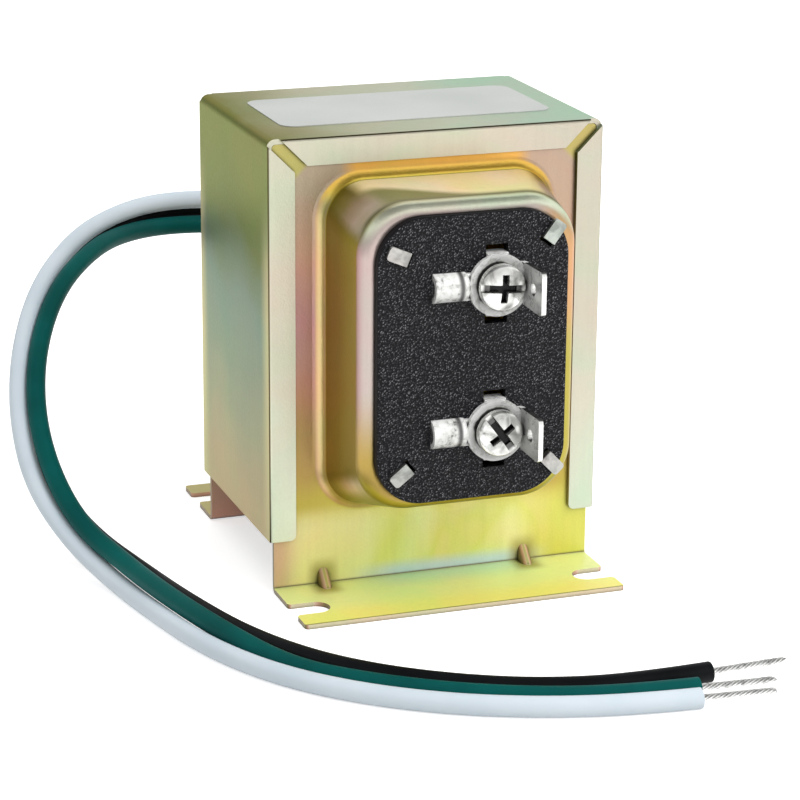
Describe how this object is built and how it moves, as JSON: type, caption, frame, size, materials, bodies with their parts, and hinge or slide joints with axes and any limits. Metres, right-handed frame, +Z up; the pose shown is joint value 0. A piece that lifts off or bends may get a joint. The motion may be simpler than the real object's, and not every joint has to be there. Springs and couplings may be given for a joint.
{
  "type": "doorbell transformer",
  "caption": "Foot-mounted doorbell transformer: folded steel casing with domed end covers, screw terminals on a board at the front and insulated leads at the back.",
  "frame": {"origin": "on the mounting surface, in the middle of the four foot slots", "axes": "+X to the right as seen from the front, +Y from the terminal board to the leads, +Z up from the mounting surface"},
  "size_m": [0.1021, 0.1508, 0.0772],
  "materials": {
    "zinc_plate": "yellow zinc plating on cold-rolled steel, satin with a colour play",
    "bushing_nylon": "moulded black nylon",
    "board_fibre": "black fibre board with a pebbled face",
    "nickel_plate": "bright nickel plate on brass and steel",
    "tinned_copper": "tinned copper",
    "solder": "solder, dull and smooth",
    "label_film": "blank silver-white film",
    "core_steel": "stacked silicon steel sheets, varnished",
    "bobbin_nylon": "natural nylon",
    "enamelled_copper": "layers of enamelled copper wire",
    "coil_tape": "yellow polyester tape",
    "sleeve_fibre": "varnished glass-fibre sleeve",
    "cutout_case": "plain metal case",
    "white_insulation": "white wire insulation",
    "green_insulation": "dark green wire insulation",
    "black_insulation": "black wire insulation"
  },
  "bodies": {
    "root": {"casing_wrap": "zinc_plate", "front_cover": "zinc_plate", "rear_cover": "zinc_plate", "lead_bushing": "bushing_nylon", "terminal_board": "board_fibre", "upper_terminal": "nickel_plate", "lower_terminal": "nickel_plate", "terminal_screws": "nickel_plate", "secondary_wires": "tinned_copper", "solder_joints": "solder", "rating_label": "label_film", "core_e_stack": "core_steel", "core_i_stack": "core_steel", "bobbin": "bobbin_nylon", "primary_winding": "enamelled_copper", "primary_tape": "coil_tape", "secondary_winding": "enamelled_copper", "secondary_tape": "coil_tape", "splice_sleeves": "sleeve_fibre", "thermal_cutout": "cutout_case", "ground_tag": "tinned_copper", "white_lead": "white_insulation", "green_lead": "green_insulation", "black_lead": "black_insulation", "white_conductor": "tinned_copper", "green_conductor": "tinned_copper", "black_conductor": "tinned_copper"}
  },
  "joints": []
}
